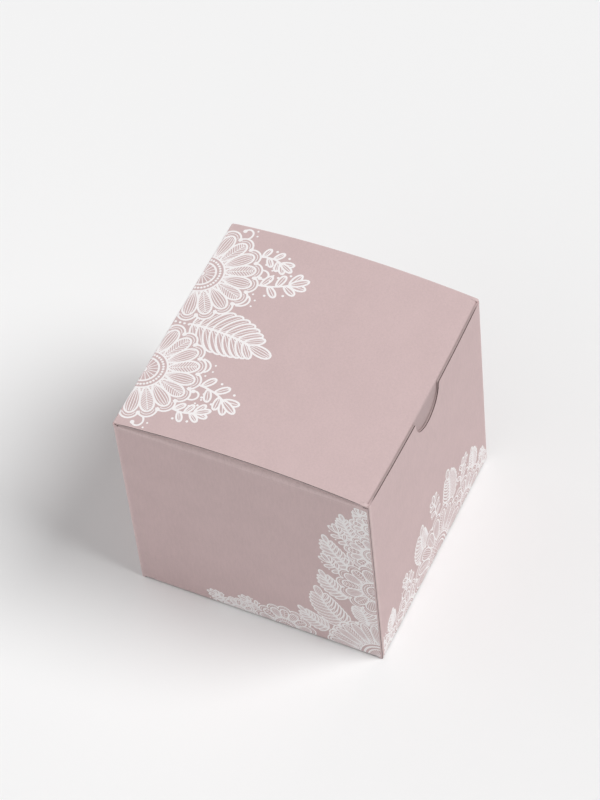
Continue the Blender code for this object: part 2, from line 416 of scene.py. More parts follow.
def near_raw_edge(points, outline, seams):
    """1 at a cut edge of the card, fading to 0 a little way inside, and 0 along the seams."""
    starts = np.array(outline)
    along = np.roll(starts, -1) - starts
    across = abs(along.real) < NEARNESS
    middles = starts + along / 2
    at_seam = np.isclose(np.where(across, middles.real, middles.imag)[:, None], seams).any(axis=1)
    raw = ~at_seam & (abs(along) > NEARNESS)
    starts, along = starts[raw], along[raw]
    share = ((points[:, None] - starts) * np.conj(along)).real / abs(along) ** 2
    away = abs(points[:, None] - starts - np.clip(share, 0, 1) * along).min(axis=1)
    return np.clip(1 - away / EDGE_RUB_AND_HIGHLIGHT, 0, 1)


def card(name, outline, profile, place, more_lines=(), seams=(), tucked=False):
    """A piece of card cut to an outline, whose points are distance walked plus i times across.

    Its seams are given by where they lie: unlike the cut edges, they get no rub and no painted
    highlight. Nor does a tuck flap's fold, and the flap's print has painted shade from there on.
    """
    flat = np.array(outline)
    left, right = flat.imag.min() - MM, flat.imag.max() + MM
    stations = profile.stations(flat.real.min(), flat.real.max())
    lines = [(complex(at, left), complex(at, right)) for at in stations]
    inner = moved_in(outline, EDGE_RUB_AND_HIGHLIGHT)
    lines += zip(inner, np.roll(inner, -1))
    points, triangles, holders = flat_cut([outline], [*lines, *more_lines])
    inside = [triangle for triangle, held in zip(triangles, holders) if held]
    # A cut edge's outside band is a dark line of painted shade for the shadow in the gaps; the rest of
    # the edge has its own colour, darkened with painted shade.
    materials = [card_finish(kind) for kind in ("printed", "cut", "rim", "plain")]
    depths = (0, SHADE_LINE_DEPTH, BOARD)

    # Lighter rubbed print along folds and cut edges, which also paints a highlight there.
    def worn_and_lit(flat):
        on_folds = 0 if tucked else profile.near_fold(flat.real, SEAM_LIP)
        return np.maximum(on_folds, near_raw_edge(flat, outline, seams))

    # Near tight folds the painted shade of a cut edge gives way to the print's colour, as the gaps that
    # it stands for close there.
    def painted_shade_fade(flat):
        return profile.near_fold(flat.real, SHADE_FADE_REACH)

    # Painted shade on a tuck flap's print, growing across its fold and full past it.
    def painted_shade_past_fold(flat):
        start, end = profile.bends[FRONT_FOLD]
        return np.clip((flat.real - start) / (end - start), 0, 1)

    fades = {"rub_and_highlight": worn_and_lit, "painted_shade_fade": painted_shade_fade}
    if tucked:
        fades["tucked"] = painted_shade_past_fold
    return closed_sheet(name, points, inside, place, depths, materials, fades)


def grid(low, high, steps, left, right):
    """Lines across a piece at even steps between two distances walked or two places across."""
    return [(complex(at, left), complex(at, right)) for at in np.linspace(low, high, steps + 1)]


def turned(lines):
    """The same lines with distance walked and across exchanged."""
    return [(complex(a.imag, a.real), complex(b.imag, b.real)) for a, b in lines]


def arc(centre, radius, start_deg, end_deg, steps):
    return list(centre + radius * cis(np.linspace(start_deg, end_deg, steps + 1)))


# Profiles of the folded card.


def front_middle(profile):
    """The distance walked at the middle of the front wall's outer face."""
    start = profile.bends[0][1]
    return start - profile.at(start, 0).real


def plan_profile(radius):
    """The glue tab and the four walls from above, anticlockwise from the tab's free edge."""
    tab_x = -HALF_WIDTH + BOARD + GLUE_GAP
    corners = [
        complex(tab_x, TAB_HIGH.y),
        complex(tab_x, -HALF_DEPTH),
        complex(HALF_WIDTH, -HALF_DEPTH),
        complex(HALF_WIDTH, HALF_DEPTH),
        complex(-HALF_WIDTH, HALF_DEPTH),
        complex(-HALF_WIDTH, -HALF_DEPTH),
    ]
    return Profile(corners, [radius] * 4, [FOLD_STEPS] * 4)


def closing_profile(radius, slope):
    """Back wall, closing panel and tuck flap from the side, with its heights from the crease.

    The flap hangs close behind the front wall and curls inwards at its knee, which lets it pass the
    wall's edge as the panel turns.
    """
    wall = complex(HALF_DEPTH, BOTTOM - TOP)
    back = complex(HALF_DEPTH, 0)
    front = complex(TUCK_FOLD_Y, 0)
    knee = front + TUCK_KNEE * cis(TUCK_LEAN_DEG - 90)
    tip = knee + (TUCK_DEPTH - TUCK_KNEE) * cis(TUCK_TIP_LEAN_DEG - 90)
    half_span = (HALF_DEPTH - TUCK_FOLD_Y) / 2
    peak = complex(HALF_DEPTH - half_span, half_span * math.tan(slope))
    front_reach = radius * math.tan((QUARTER_TURN + math.radians(TUCK_LEAN_DEG) - slope) / 2)
    arch_reach = half_span / math.cos(slope) - front_reach
    arch_radius = arch_reach / math.tan(slope) if slope else 0
    return Profile(
        [wall, back, peak, front, knee, tip],
        [radius, arch_radius, radius, TUCK_KNEE_RADIUS],
        [FOLD_STEPS, ARCH_STEPS, FOLD_STEPS, ROUND_STEPS],
    )


def side_profile(radius):
    """Side wall and dust flap from the front, with its heights from the crease."""
    corners = [
        complex(HALF_WIDTH, FLAP_BOTTOM - FLAP_TOP),
        complex(HALF_WIDTH, 0),
        complex(DUST_TIP, 0),
    ]
    return Profile(corners, [radius], [FOLD_STEPS])


def round_the_plan(profile):
    """Places a wall's points: distance walked round the plan plus i times height."""

    def place(flat, depth):
        ground = profile.at(flat.real, depth)
        from_middle = np.clip((flat.real - front_middle(profile)) / HALF_WIDTH, -1, 1)
        bow = FRONT_BOW * (1 - from_middle**2) * (flat.imag / FRONT_HIGH.z) ** 2
        return np.stack([ground.real, ground.imag - bow, flat.imag], axis=1)

    return place


def over_the_lid(profile, level, up):
    """Places a closing panel's points: distance walked plus i times across.

    The panel's front fold and the tuck flap bow outwards with the front wall. Beside the tuck flap
    the panel's ears go on straight.
    """
    fold = profile.bends[FRONT_FOLD][0]
    slit = TUCK_FOLD_HALF + EAR_SLIT / 2

    def place(flat, depth):
        on_ear = (abs(flat.imag) > slit) & (flat.real > fold)
        side = profile.at(np.where(on_ear, fold, flat.real), depth)
        side = side + np.where(on_ear, flat.real - fold, 0) * profile.heading(fold)
        across = np.clip(flat.imag / HALF_WIDTH, -1, 1)
        height = level + up * side.imag
        forward = (HALF_DEPTH - side.real) / (2 * HALF_DEPTH)
        bow = FRONT_BOW * (1 - across**2) * forward**2 * (height / TOP) ** 2
        return np.stack([flat.imag, side.real - bow, height], axis=1)

    return place


def over_the_side(profile, side, level, up):
    """Places a dust flap's points: distance walked plus i times towards the back.

    An upper flap springs up from its crease, most in its middle, until it nearly meets the lid. A
    lower one steps up over the bottom panel's edge.
    """
    start = profile.bends[0][0]

    def place(flat, depth):
        end = profile.at(flat.real, depth)
        share = np.clip((flat.real - start) / DUST_SPRING_REACH, 0, 1)
        spring = DUST_SPRING * (1 - (flat.imag / HALF_DEPTH) ** 2) if up > 0 else BOTTOM_FLAP_STEP
        rise = spring * share**2 * (3 - 2 * share)
        return np.stack([side * end.real, flat.imag, level + up * end.imag + rise], axis=1)

    return place


def bend_between(obj, first, second, profile, place, bend, lip=0):
    """Bakes the piece's place into its mesh, after working out the ends of one crease and of a lip
    beside it.
    """
    start, end = profile.bends[bend]
    beside = 1j * HALF_WIDTH / 2
    ends = place(np.array([start - lip + beside, end + lip + beside]), 0)
    tuple(ends[0])
    tuple(ends[1])
    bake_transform(obj)


# Outlines of the die-cut card.


def notch(middle, level):
    """The thumb notch, from its right shoulder to its left one."""
    centre = complex(middle, level - NOTCH_SHOULDER)
    out = NOTCH_RADIUS + NOTCH_SHOULDER
    outline = arc(centre + out, NOTCH_SHOULDER, 90, 180, ROUND_STEPS)
    outline += arc(centre, NOTCH_RADIUS, 0, -180, NOTCH_STEPS)[1:-1]
    outline += arc(centre - out, NOTCH_SHOULDER, 0, 90, ROUND_STEPS)
    return outline


def sleeve_outline(profile, closing, side):
    """The walls laid flat, from the glue tab to the left wall's raw edge.

    The second result is where their seams and their feet lie, which get no rub and no painted
    highlight.
    """
    tab_end = profile.bends[0][0]
    front_end, right_start = profile.bends[1]
    right_end, back_start = profile.bends[2]
    back_end, left_start = profile.bends[3]
    seam_reach = -side.at(side.bends[0][0] - SEAM_LIP, 0).imag
    back_reach = -closing.at(closing.bends[0][0] - SEAM_LIP, 0).imag
    radius = HALF_DEPTH - abs(profile.at(right_start, 0).imag)
    crease_front = -HALF_DEPTH + DUST_CREASE_SETBACK
    crease_back = HALF_DEPTH - DUST_BACK_SETBACK

    def edge(raw, corner, seam, panel_seam, panel_crease):
        """The upper or lower edge, from the front wall's right fold to the left wall's raw edge."""
        points = [(right_start, raw)]
        for wall_start, wall_front, direction in (
            (right_start, -HALF_DEPTH + radius, 1),
            (left_start, HALF_DEPTH - radius, -1),
        ):
            crease = [crease_front, crease_back][::direction]
            for along in crease:
                walked = wall_start + direction * (along - wall_front)
                levels = (raw, seam) if along == crease[0] else (seam, raw)
                points += [(walked, levels[0]), (walked, levels[1])]
            if direction == 1:
                middle = (back_start + back_end) / 2
                points += [(right_end, raw), (right_end, corner)]
                points += [(middle - panel_crease, corner), (middle - panel_crease, panel_seam)]
                points += [(middle + panel_crease, panel_seam), (middle + panel_crease, corner)]
                points += [(left_start, corner), (left_start, raw)]
        points.append((profile.length, raw))
        return [complex(walked, height) for walked, height in points]

    side_seams = [WALL_HEAD - seam_reach, WALL_FOOT + seam_reach]
    panel_seams = [TOP - back_reach, BOTTOM + radius + SEAM_LIP]
    raw, corner = TOP - BOARD - UNDER_LID, TOP - CORNER_DROP
    upper = edge(raw, corner, side_seams[0], panel_seams[0], HALF_WIDTH - LID_CREASE_SETBACK)
    foot_crease = HALF_WIDTH - BOTTOM_CREASE_SETBACK
    lower = edge(WALL_FOOT, WALL_FOOT, side_seams[1], panel_seams[1], foot_crease)
    outline = [complex(0, TAB_LOW.z + TAB_SLANT), complex(tab_end, TAB_LOW.z)]
    outline += [complex(tab_end, FRONT_LOW.z), complex(front_end, FRONT_LOW.z)]
    outline += lower
    outline += upper[::-1]
    outline += [complex(front_end, FRONT_HIGH.z)]
    outline += notch(front_middle(profile), FRONT_HIGH.z)
    outline += [complex(tab_end, FRONT_HIGH.z), complex(tab_end, TAB_HIGH.z)]
    outline.append(complex(0, TAB_HIGH.z - TAB_SLANT))
    return outline, [*side_seams, *panel_seams, WALL_FOOT, FRONT_LOW.z]


def closing_outline(profile, crease_half, panel_half, fold_half):
    """The closing panel with its crease on the back wall.

    Where the panel is wider than the tuck flap's fold it goes on as an ear over the front wall.
    """
    start = profile.bends[BACK_FOLD][0] - SEAM_LIP
    crease_end = profile.bends[BACK_FOLD][1]
    fold = profile.bends[FRONT_FOLD][0]
    half = [
        complex(start, crease_half),
        complex(crease_end, crease_half),
        complex(crease_end + LID_TAPER, panel_half),
    ]
    if panel_half > fold_half:
        ear_end = fold + profile.at(fold, 0).real + HALF_DEPTH - LID_EAR_SETBACK
        ear_half = fold_half + EAR_SLIT
        half += [complex(ear_end, panel_half), complex(ear_end, ear_half)]
        half.append(complex(fold - SEAM_LIP, ear_half))
    else:
        half.append(complex(fold - SEAM_LIP, panel_half))
    return [np.conj(point) for point in half] + half[::-1]


def tuck_outline(profile, fold_half):
    """The tuck flap with its fold and its two rounded corners."""
    start = profile.bends[FRONT_FOLD][0] - SEAM_LIP
    shoulder = profile.bends[FRONT_FOLD][1]
    turn = profile.length - TUCK_CORNER
    middle = TUCK_HALF_WIDTH - TUCK_CORNER
    half = [
        complex(start, fold_half),
        complex(shoulder, fold_half),
        complex(shoulder + TUCK_SHOULDER, TUCK_HALF_WIDTH),
    ]
    outline = [np.conj(point) for point in half]
    outline += arc(complex(turn, -middle), TUCK_CORNER, -90, 0, ROUND_STEPS)
    outline += arc(complex(turn, middle), TUCK_CORNER, 0, 90, ROUND_STEPS)
    return outline + half[::-1]


def dust_outline(profile):
    """The dust flap with its crease, its front shoulder and its back edge cut at 45 degrees."""
    start, end = profile.bends[0]
    corner = end - HALF_WIDTH + profile.at(end, 0).real
    tip = profile.length
    back = HALF_DEPTH - DUST_BACK_SETBACK
    front = -HALF_DEPTH + DUST_FRONT_SETBACK
    crease_front = -HALF_DEPTH + DUST_CREASE_SETBACK
    inset_back = back - DUST_SHOULDER
    inset_front = front + DUST_TAPER
    turn = tip - DUST_CORNER
    outline = [
        complex(start - SEAM_LIP, back),
        complex(start - SEAM_LIP, crease_front),
        complex(corner, crease_front),
        complex(corner + DUST_FRONT_SHOULDER, front),
    ]
    outline += arc(complex(turn, inset_front + DUST_CORNER), DUST_CORNER, -90, 0, ROUND_STEPS)
    outline += arc(complex(turn, inset_back - DUST_CORNER), DUST_CORNER, 0, 90, ROUND_STEPS)
    outline += [complex(corner + DUST_SHOULDER, inset_back), complex(corner, back)]
    return outline


# The lace, drawn in millimetres.


def moved_in(outline, distance):
    """An anticlockwise outline moved inwards, or outwards by a distance below zero."""
    points = np.array(outline)
    points = points[abs(points - np.roll(points, 1)) > NEARNESS]
    before = unit(points - np.roll(points, 1))
    middle = unit(before + unit(np.roll(points, -1) - points))
    widening = np.maximum((np.conj(before) * middle).real, SHARPEST_INSET)
    return points + 1j * middle * distance / widening


def leaf_at(root, tip, width, swell):
    """Places in a leaf: its angle runs from 0 at the root to 180 at the tip and on to 360."""

    def at(angle_deg, across=1.0):
        angle = np.radians(angle_deg)
        half = width / abs(tip - root) / 2 * np.sin(angle) * (1 - swell * np.cos(angle))
        return root + (tip - root) * ((1 - np.cos(angle)) / 2 - 1j * across * half)

    return at


def curl(start, heading_deg, length, bend_deg):
    """Points of a curve that bends more and more."""
    share = np.linspace(0, 1, CURL_STEPS)
    headings = cis(heading_deg) * cis(bend_deg * share**CURL_GROWTH)
    return start + np.append(0, np.cumsum(headings[:-1])) * length / (CURL_STEPS - 1)


class Drawing:
    """Shapes of ink and of bare card, each laid over those before it."""

    def __init__(self, sizes, share=1):
        self.pen = sizes.outline_width * share
        self.thread = sizes.thread_width * share
        self.shapes = []

    def lay(self, outline, is_ink=True):
        self.shapes.append((np.array(outline), is_ink))

    def stamp(self, other, mirrored=False):
        """Lays another drawing's shapes, or their mirror images below the line."""
        for outline, is_ink in other.shapes:
            self.lay(np.conj(outline)[::-1] if mirrored else outline, is_ink)

    def line(self, points, width):
        """A line with pointed ends."""
        half = width / 2 * unit(np.gradient(points))
        right = points - 1j * half
        left = (points + 1j * half)[::-1]
        self.lay([*right, points[-1] + half[-1], *left, points[0] - half[0]])

    def loop(self, outline, width):
        """A closed line with bare card inside it."""
        self.lay(moved_in(outline, -width / 2))
        self.lay(moved_in(outline, width / 2), is_ink=False)

    def dot(self, centre, radius):
        self.lay(centre + radius * cis(np.arange(0, 360, 360 / DOT_SIDES)))

    def pearls(self, points, radius):
        for point in points:
            self.dot(point, radius)

    def leaf(self, root, tip, width, swell=LEAF_SWELL, veins=1, ribs=0):
        """An outlined leaf with veins along it and ribs that leave its middle in pairs."""
        at = leaf_at(root, tip, width, swell)
        steps = max(LEAF_LEAST_STEPS, int(abs(tip - root) * LEAF_STEPS_PER_MM))
        self.loop(at(np.linspace(0, 360, 2 * steps, endpoint=False)), self.pen)
        for across in np.linspace(-1, 1, veins + 2)[1:-1]:
            self.line(at(np.linspace(*VEIN_ENDS_DEG, steps // 2), across), self.thread)
        for angle in np.linspace(*RIB_ENDS_DEG, ribs):
            for side in (-RIB_SHARE, RIB_SHARE):
                self.line(at(angle + np.array([0, RIB_LEAN_DEG]), np.array([0, side])), self.thread)

    def bud(self, root, heading, size):
        """A closed flower of three petals."""
        width = BUD_PETAL_WIDTH_SHARE * size
        for turn_deg, share in BUD_TURNS_AND_SHARES:
            tip = root + share * size * heading * cis(turn_deg)
            self.leaf(root, tip, width, BUD_PETAL_SWELL)

    def fan(self, centre, radius, petals, start_deg=0, end_deg=180):
        """A shell: rosette, pearled band, petals veined and ribbed in turn, and scalloped rim."""
        step = (end_deg - start_deg) / petals
        half_step = math.sin(math.radians(step / 2))
        middles = radius * cis(start_deg + (np.arange(petals) + 1 / 2) * step)
        self.scallops(centre, middles, half_step)
        width = FAN_PETAL_WIDTH_SHARE * radius * half_step
        veined, ribbed = {"veins": FAN_PETAL_VEINS}, {"ribs": int(radius * FAN_RIBS_PER_MM)}
        for number, middle in enumerate(middles):
            root, tip = (centre + share * middle for share in FAN_PETAL_SHARES)
            self.leaf(root, tip, width, FAN_PETAL_SWELL, **(ribbed if number % 2 else veined))
        seams = radius * cis(start_deg + np.arange(petals + 1) * step)
        for away, size in FAN_SEAM_PEARL_SHARES:
            self.pearls(centre + away * seams, size * radius)
        around = radius * cis(np.linspace(start_deg, end_deg, FAN_RING_STEPS_PER_PETAL * petals))
        for share in FAN_BAND_SHARES:
            self.line(centre + share * around, self.pen)
        self.line(centre + FAN_THREAD_RING_SHARE * around, self.thread)
        twice = radius * cis(start_deg + (np.arange(2 * petals) + 1 / 2) * step / 2)
        self.pearls(centre + FAN_BAND_PEARLS_SHARE * twice, FAN_BAND_PEARL_SHARE * radius)
        for middle in middles:
            self.line(centre + middle * np.array(FAN_RAY_SHARES), self.thread)
        self.dot(centre, FAN_HUB_SHARE * radius)

    def scallops(self, centre, middles, half_step):
        """The fan's rim: bare card within it, then two lines round the end of each petal."""
        half_turn = np.linspace(-SCALLOP_HALF_TURN_DEG, SCALLOP_HALF_TURN_DEG, SCALLOP_STEPS)
        outer = FAN_RIM_SHARE + half_step * cis(half_turn)
        turned_less = cis(half_turn * INNER_SCALLOP_TURN_SHARE)
        inner = FAN_RIM_SHARE + INNER_SCALLOP_SHARE * half_step * turned_less
        for middle in middles:
            self.lay([centre, *(centre + middle * outer)], is_ink=False)
        for middle in middles:
            self.line(centre + middle * outer, self.pen)
            self.line(centre + middle * inner, self.thread)

    def plume(self, start, heading_deg, length, bend_deg, leaf, pairs):
        """Paired leaflets along a rib, smaller towards its tip, and one leaf at the end."""
        rib = curl(start, heading_deg, length, bend_deg)
        headings = unit(np.gradient(rib))
        share = np.linspace(0, 1, len(rib))
        for along in np.linspace(*PLUME_RIB_SHARES, pairs):
            root = np.interp(along, share, rib)
            arrow = unit(np.interp(along, share, headings))
            grown = math.sin(math.pi * (LEAFLET_GROWTH_START + LEAFLET_GROWTH_SPAN * along))
            arrow *= leaf * (LEAFLET_LEAST_SHARE + LEAFLET_GROWTH_SHARE * grown)
            width = LEAFLET_WIDTH_SHARE * abs(arrow)
            spread = PLUME_SPREAD_DEG - PLUME_CLOSING_DEG * along
            for side in (-spread, spread):
                self.leaf(root, root + arrow * cis(side), width, LEAFLET_SWELL, LEAFLET_VEINS)
        tip = rib[-1] + END_LEAF_SHARE * leaf * headings[-1]
        self.leaf(rib[-1], tip, END_LEAF_WIDTH_SHARE * leaf, END_LEAF_SWELL, END_LEAF_VEINS)
        self.line(rib, self.pen)

    def tendril(self, start, heading_deg, length, bend_deg):
        """A curl that ends in a pearl, with small dots on its outer side."""
        points = curl(start, heading_deg, length, bend_deg)
        self.line(points, self.pen)
        self.dot(points[-1], TENDRIL_PEARL_SHARE * self.pen)
        outwards = -1j * np.sign(bend_deg) * unit(np.gradient(points))
        beside = points + TENDRIL_DOT_AWAY_SHARE * self.pen * outwards
        self.pearls(beside[TENDRIL_DOTTED], TENDRIL_DOT_SHARE * self.pen)

    def sprig(self, start, heading_deg, length, bend_deg, leaf):
        """A stalk with leaves in turn on its sides, each across from a berry, and a bud."""
        points = curl(start, heading_deg, length, bend_deg)
        headings = unit(np.gradient(points))
        self.line(points, self.pen)
        for number in range(SPRIG_FIRST_LEAF, len(points) - SPRIG_FIRST_LEAF, SPRIG_LEAF_EVERY):
            side = SPRIG_SPREAD_DEG if number % 2 else -SPRIG_SPREAD_DEG
            root, arrow = points[number], leaf * headings[number]
            width = SPRIG_LEAF_WIDTH_SHARE * leaf
            self.leaf(root, root + arrow * cis(side), width, SPRIG_LEAF_SWELL)
            self.dot(root + BERRY_AWAY_SHARE * arrow * cis(-side), BERRY_SHARE * self.pen)
        self.bud(points[-1], headings[-1], SPRIG_BUD_SHARE * leaf)


def hinge_drawing(sizes):
    """The lace of the lid: across it from its middle, and from its crease to its front."""
    half = Drawing(sizes)
    half.plume(start=0.2 + 3.4j, heading_deg=90, length=13.4, bend_deg=16, leaf=6.2, pairs=9)
    for side in (-1, 1):
        for across, up, away_deg, length, bend_deg, leaf in (
            (12.8, 11.4, 6, 6.6, -30, 3.0),
            (19.4, 9.0, 14, 5.0, 46, 2.4),
        ):
            start = side * across + 1j * up
            half.sprig(start, 90 - side * away_deg, length, side * bend_deg, leaf)
        for across, up, away_deg, length, bend_deg in (
            (6.9, 10.0, 10, 6.0, -250),
            (16.4, 10.6, 16, 4.8, 240),
            (22.6, 4.6, 40, 4.6, -220),
        ):
            start = side * across + 1j * up
            half.tendril(start, 90 - side * away_deg, length, side * bend_deg)
        half.fan(centre=side * 12.4, radius=11.2, petals=sizes.petals + 2)
    half.pearls(1j * np.arange(*CREASE_PEARLS_FROM_TO, CREASE_PEARL_PITCH), CREASE_PEARL_RADIUS)
    whole = Drawing(sizes)
    whole.stamp(half, mirrored=True)
    whole.stamp(half)
    return whole


def side_drawing(sizes):
    """The lace of the left wall: across it from its front edge, and up from its foot."""
    lace = Drawing(sizes, sizes.fine_print)
    lace.sprig(start=1.6 + 45.4j, heading_deg=72, length=1.8, bend_deg=30, leaf=1.7)
    lace.plume(start=3.0 + 37.4j, heading_deg=58, length=6.2, bend_deg=24, leaf=2.7, pairs=7)
    lace.fan(centre=43.2j, radius=3.6, petals=sizes.petals - 1, start_deg=-90, end_deg=90)
    lace.plume(start=4.6 + 28.0j, heading_deg=38, length=7.8, bend_deg=40, leaf=3.2, pairs=7)
    lace.sprig(start=4.4 + 36.2j, heading_deg=28, length=3.6, bend_deg=50, leaf=2.1)
    lace.fan(centre=34.6j, radius=5.2, petals=sizes.petals, start_deg=-90, end_deg=90)
    lace.plume(start=6.0 + 17.6j, heading_deg=26, length=6.4, bend_deg=46, leaf=3.2, pairs=7)
    lace.sprig(start=6.6 + 26.0j, heading_deg=20, length=3.2, bend_deg=40, leaf=2.2)
    lace.tendril(start=5.2 + 28.6j, heading_deg=14, length=4.6, bend_deg=230)
    lace.plume(start=2.4 + 10.6j, heading_deg=84, length=4.4, bend_deg=-24, leaf=3.3, pairs=6)
    lace.fan(centre=22.6j, radius=7.4, petals=sizes.petals, start_deg=-90, end_deg=90)
    lace.plume(start=7.0 + 7.4j, heading_deg=44, length=9.0, bend_deg=34, leaf=4.4, pairs=9)
    lace.plume(start=10.8 + 4.6j, heading_deg=14, length=5.6, bend_deg=40, leaf=3.0, pairs=7)
    for across, radius in ((20.5, 6.0), (30.5, 3.6)):
        shoulder, foot = across + radius * (0.86 + 0.5j), across + radius + 0.4j
        lace.sprig(start=shoulder, heading_deg=40, length=radius * 0.5, bend_deg=-30, leaf=1.7)
        lace.tendril(start=foot, heading_deg=70, length=radius * 0.8, bend_deg=-240)
        lace.fan(centre=across, radius=radius, petals=sizes.petals)
    lace.tendril(start=34.4 + 0.6j, heading_deg=40, length=3.0, bend_deg=-200)
    lace.fan(centre=0, radius=11.6, petals=sizes.petals, end_deg=90)
    return lace


def front_drawing(sizes):
    """The lace of the front wall: across it from its middle, and up from its foot."""
    lace = Drawing(sizes, sizes.fine_print)
    for start, heading_deg, length, bend_deg, leaf, pairs in (
        (-4.4 + 7.2j, 118, 7.0, -44, 4.0, 9),
        (6.6 + 7.6j, 70, 8.6, 34, 4.2, 9),
        (18.4 + 5.0j, 74, 5.2, 26, 2.6, 7),
        (-20.4 + 4.0j, 104, 3.4, -34, 2.4, 6),
    ):
        lace.plume(start, heading_deg, length, bend_deg, leaf, pairs)
    for start, heading_deg, length, bend_deg, leaf in (
        (1.2 + 11.4j, 90, 5.2, 12, 2.4),
        (-11.6 + 6.2j, 98, 3.6, 40, 2.1),
        (12.8 + 7.4j, 84, 4.6, -36, 2.3),
        (23.2 + 2.4j, 84, 2.4, 20, 1.5),
    ):
        lace.sprig(start, heading_deg, length, bend_deg, leaf)
    for across, radius in ((-23.2, 4.0), (22.4, 4.2), (-13.6, 6.2), (14.2, 7.0)):
        top, inwards = across + 1j * radius, 220 if across < 0 else -220
        lace.tendril(start=top, heading_deg=90, length=radius * 0.7, bend_deg=inwards)
        lace.fan(centre=across, radius=radius, petals=sizes.petals)
    lace.fan(centre=1.0, radius=11.0, petals=sizes.petals + 2)
    return lace


def lies_inside(points, outline):
    """Whether each point lies inside an outline, which may cross itself."""
    beside = (points.real > outline.real.min()) & (points.real < outline.real.max())
    near = beside & (points.imag > outline.imag.min()) & (points.imag < outline.imag.max())
    arrows = outline[:, None] - points[near]
    turned_round = np.angle(np.roll(arrows, -1, axis=0) / arrows).sum(axis=0)
    inside = np.zeros(len(points), bool)
    inside[near] = abs(turned_round) > math.pi
    return inside


def printed_sheet(name, draw, sizes, low, high, lines, to_sheet, place):
    """A film of ink on the card where the drawing has ink inside a window."""
    drawing = draw(sizes)
    window = np.array([low, complex(high.real, low.imag), high, complex(low.real, high.imag)])
    shapes = [(outline * MM, is_ink) for outline, is_ink in drawing.shapes]
    sides = [
        side
        for outline, _ in [(window, False), *shapes]
        for side in zip(outline, np.roll(outline, -1))
    ]
    points, triangles, _ = flat_cut([], [*sides, *lines])
    points, merged = np.unique(np.round(points, PLACE_DIGITS), return_inverse=True)
    triangles = merged[np.array(triangles)]
    triangles = triangles[(triangles != np.roll(triangles, 1, axis=1)).all(axis=1)]
    middles = points[triangles].mean(axis=1)
    inked = np.zeros(len(middles), bool)
    for outline, is_ink in shapes:
        inked[lies_inside(middles, outline)] = is_ink
    inked &= lies_inside(middles, window)
    inside = triangles[inked].tolist()
    ink = ink_finish()
    depths = (-sizes.ink_height, sizes.ink_height / 2)
    return closed_sheet(name, to_sheet(points), inside, place, depths, [ink, ink, ink])


# Shader expressions.


class Wire:
    """An output socket that can stand in an expression on numbers."""

    def __init__(self, finish, socket):
        self.finish = finish
        self.socket = socket

    def maths(self, operation, first, second):
        return self.finish.node("ShaderNodeMath", {"operation": operation}, {0: first, 1: second})

    def __add__(self, other):
        return self.maths("ADD", self, other)

    def __radd__(self, other):
        return self.maths("ADD", other, self)

    def __sub__(self, other):
        return self.maths("SUBTRACT", self, other)

    def __rsub__(self, other):
        return self.maths("SUBTRACT", other, self)

    def __mul__(self, other):
        return self.maths("MULTIPLY", self, other)

    def __rmul__(self, other):
        return self.maths("MULTIPLY", other, self)


class Finish:
    """A material or a world whose nodes are made by one method."""

    def __init__(self, owner):
        self.owner = owner
        owner.use_nodes = True
        self.tree = owner.node_tree

    def node(self, kind, settings=None, sockets=None, output=0):
        """Adds a node, sets it up, then gives its sockets their values or links."""
        made = self.tree.nodes.new(kind)
        for key, value in (settings or {}).items():
            setattr(made, key, value)
        self.fill(made, sockets or {})
        return Wire(self, made.outputs[output])

    def feed(self, node_name, sockets):
        """Gives the sockets of a node that is already there their values or links."""
        self.fill(self.tree.nodes[node_name], sockets)

    def fill(self, node, sockets):
        for key, value in sockets.items():
            if isinstance(value, Wire):
                self.tree.links.new(value.socket, node.inputs[key])
            else:
                node.inputs[key].default_value = value

    def noise(self, place, scale, detail=2.0, roughness=0.5):
        sockets = {"Vector": place, "Scale": scale, "Detail": detail, "Roughness": roughness}
        return self.node("ShaderNodeTexNoise", None, sockets)

    def ramp(self, value, low, high):
        """0 below one value, 1 above another, smooth between them."""
        settings = {"interpolation_type": "SMOOTHSTEP"}
        sockets = {"Value": value, "From Min": low, "From Max": high}
        return self.node("ShaderNodeMapRange", settings, sockets)

    def fade(self, name):
        """A fade of the mesh by its name, 0 on a mesh without it."""
        return self.node("ShaderNodeAttribute", {"attribute_name": name}, output="Fac")

    def seen_directly(self):
        """1 where the camera or a reflection sees the surface, 0 where it only gives light."""
        path = "ShaderNodeLightPath"
        seen = (
            self.node(path, output="Is Camera Ray")
            + self.node(path, output="Is Glossy Ray")
            + self.node(path, output="Is Transmission Ray")
        )
        return self.ramp(seen, 0, 1)

    def mix(self, share, first, second):
        """A colour between two others."""
        settings = {"data_type": "RGBA", "blend_type": "MIX"}
        return self.node("ShaderNodeMix", settings, {0: share, 6: first, 7: second}, output=2)


def tinted(colour, factor):
    """A colour made darker or lighter, with its alpha."""
    return (*(min(1, value * factor) for value in colour), 1)


def paper_grain(finish, look):
    """Coordinates on the card, and the paper's grain there."""
    place = finish.node("ShaderNodeTexCoord", output="Object")
    return place, finish.noise(place, look.grain_scale, detail=4.0, roughness=0.65)


